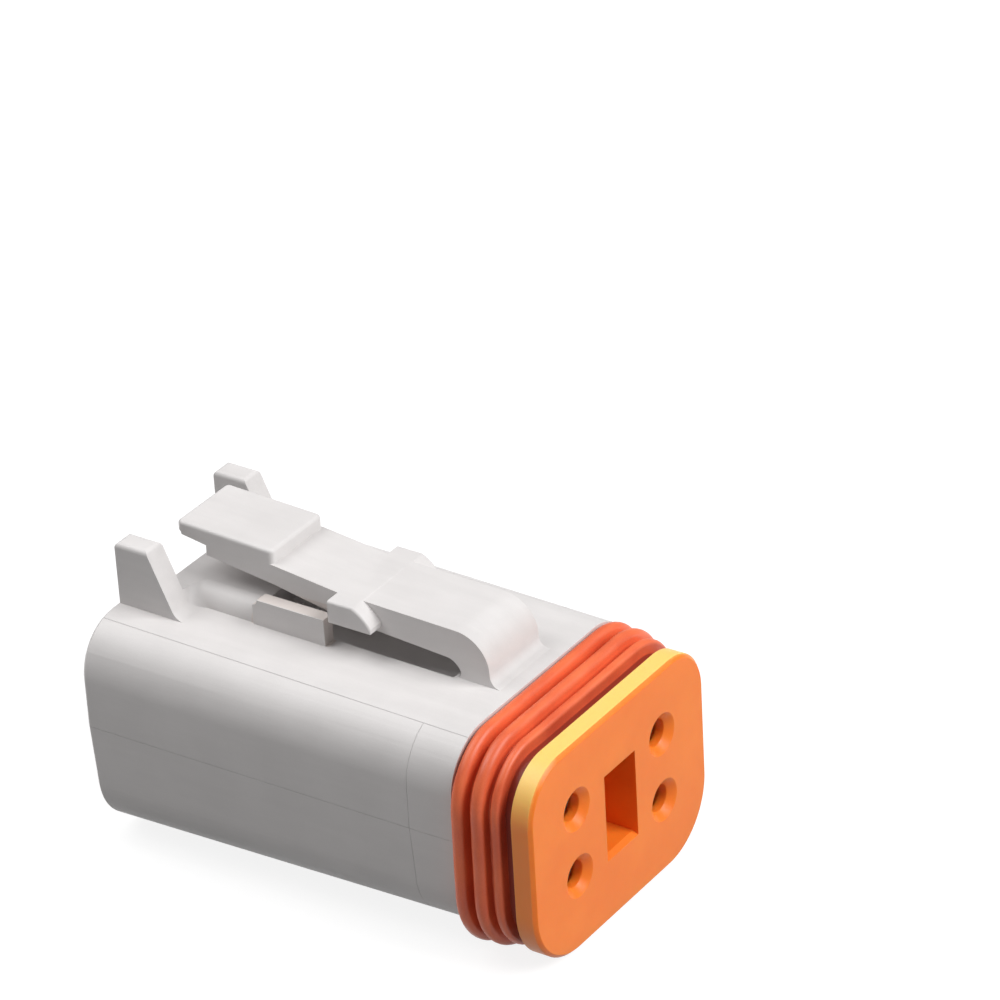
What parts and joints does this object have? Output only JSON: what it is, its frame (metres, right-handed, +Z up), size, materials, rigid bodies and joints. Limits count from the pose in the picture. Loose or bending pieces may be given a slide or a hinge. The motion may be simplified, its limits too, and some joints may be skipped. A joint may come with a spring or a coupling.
{
  "type": "sealed cable plug",
  "caption": "Sealed automotive cable plug: moulded housing with a sprung top latch, ribbed interface seal, front wedge lock with pin holes, rear wire seal and socket contacts.",
  "frame": {"origin": "below the middle of the plug's box, on the ground plane that the lowest seal rib touches", "axes": "+X out of the mating face, +Y across, +Z up to the latch; the contact grid's middle is 9.7 mm above the origin plane"},
  "size_m": [0.0424, 0.0264, 0.0262],
  "materials": {
    "housing": "light grey filled thermoplastic, fine moulded texture",
    "interface_seal": "red-orange silicone, slightly oily",
    "wedge_lock": "orange thermoplastic, smooth",
    "rear_wire_seal": "red-orange silicone",
    "socket_contact": "nickel plated copper alloy",
    "contact_hood": "thin stainless tube"
  },
  "bodies": {
    "plug": {"housing": "housing", "interface_seal": "interface_seal", "rear_wire_seal": "rear_wire_seal", "socket_contact_1": "socket_contact", "socket_contact_2": "socket_contact", "socket_contact_3": "socket_contact", "socket_contact_4": "socket_contact", "contact_hood_1": "contact_hood", "contact_hood_2": "contact_hood", "contact_hood_3": "contact_hood", "contact_hood_4": "contact_hood"},
    "latch": {"latch_arm": "housing"},
    "wedge": {"wedge_lock": "wedge_lock"}
  },
  "joints": [
    {"name": "latch_flex", "type": "hinge", "parent": "plug", "child": "latch", "pos_m": [0.01057, 0, 0.01975], "axis": [0, -1, 0], "range_deg": [0, 4], "stiffness_Nm_per_rad": 1},
    {"name": "wedge_slide", "type": "slide", "parent": "plug", "child": "wedge", "axis": [1, 0, 0], "range_m": [0, 0.0155]}
  ]
}
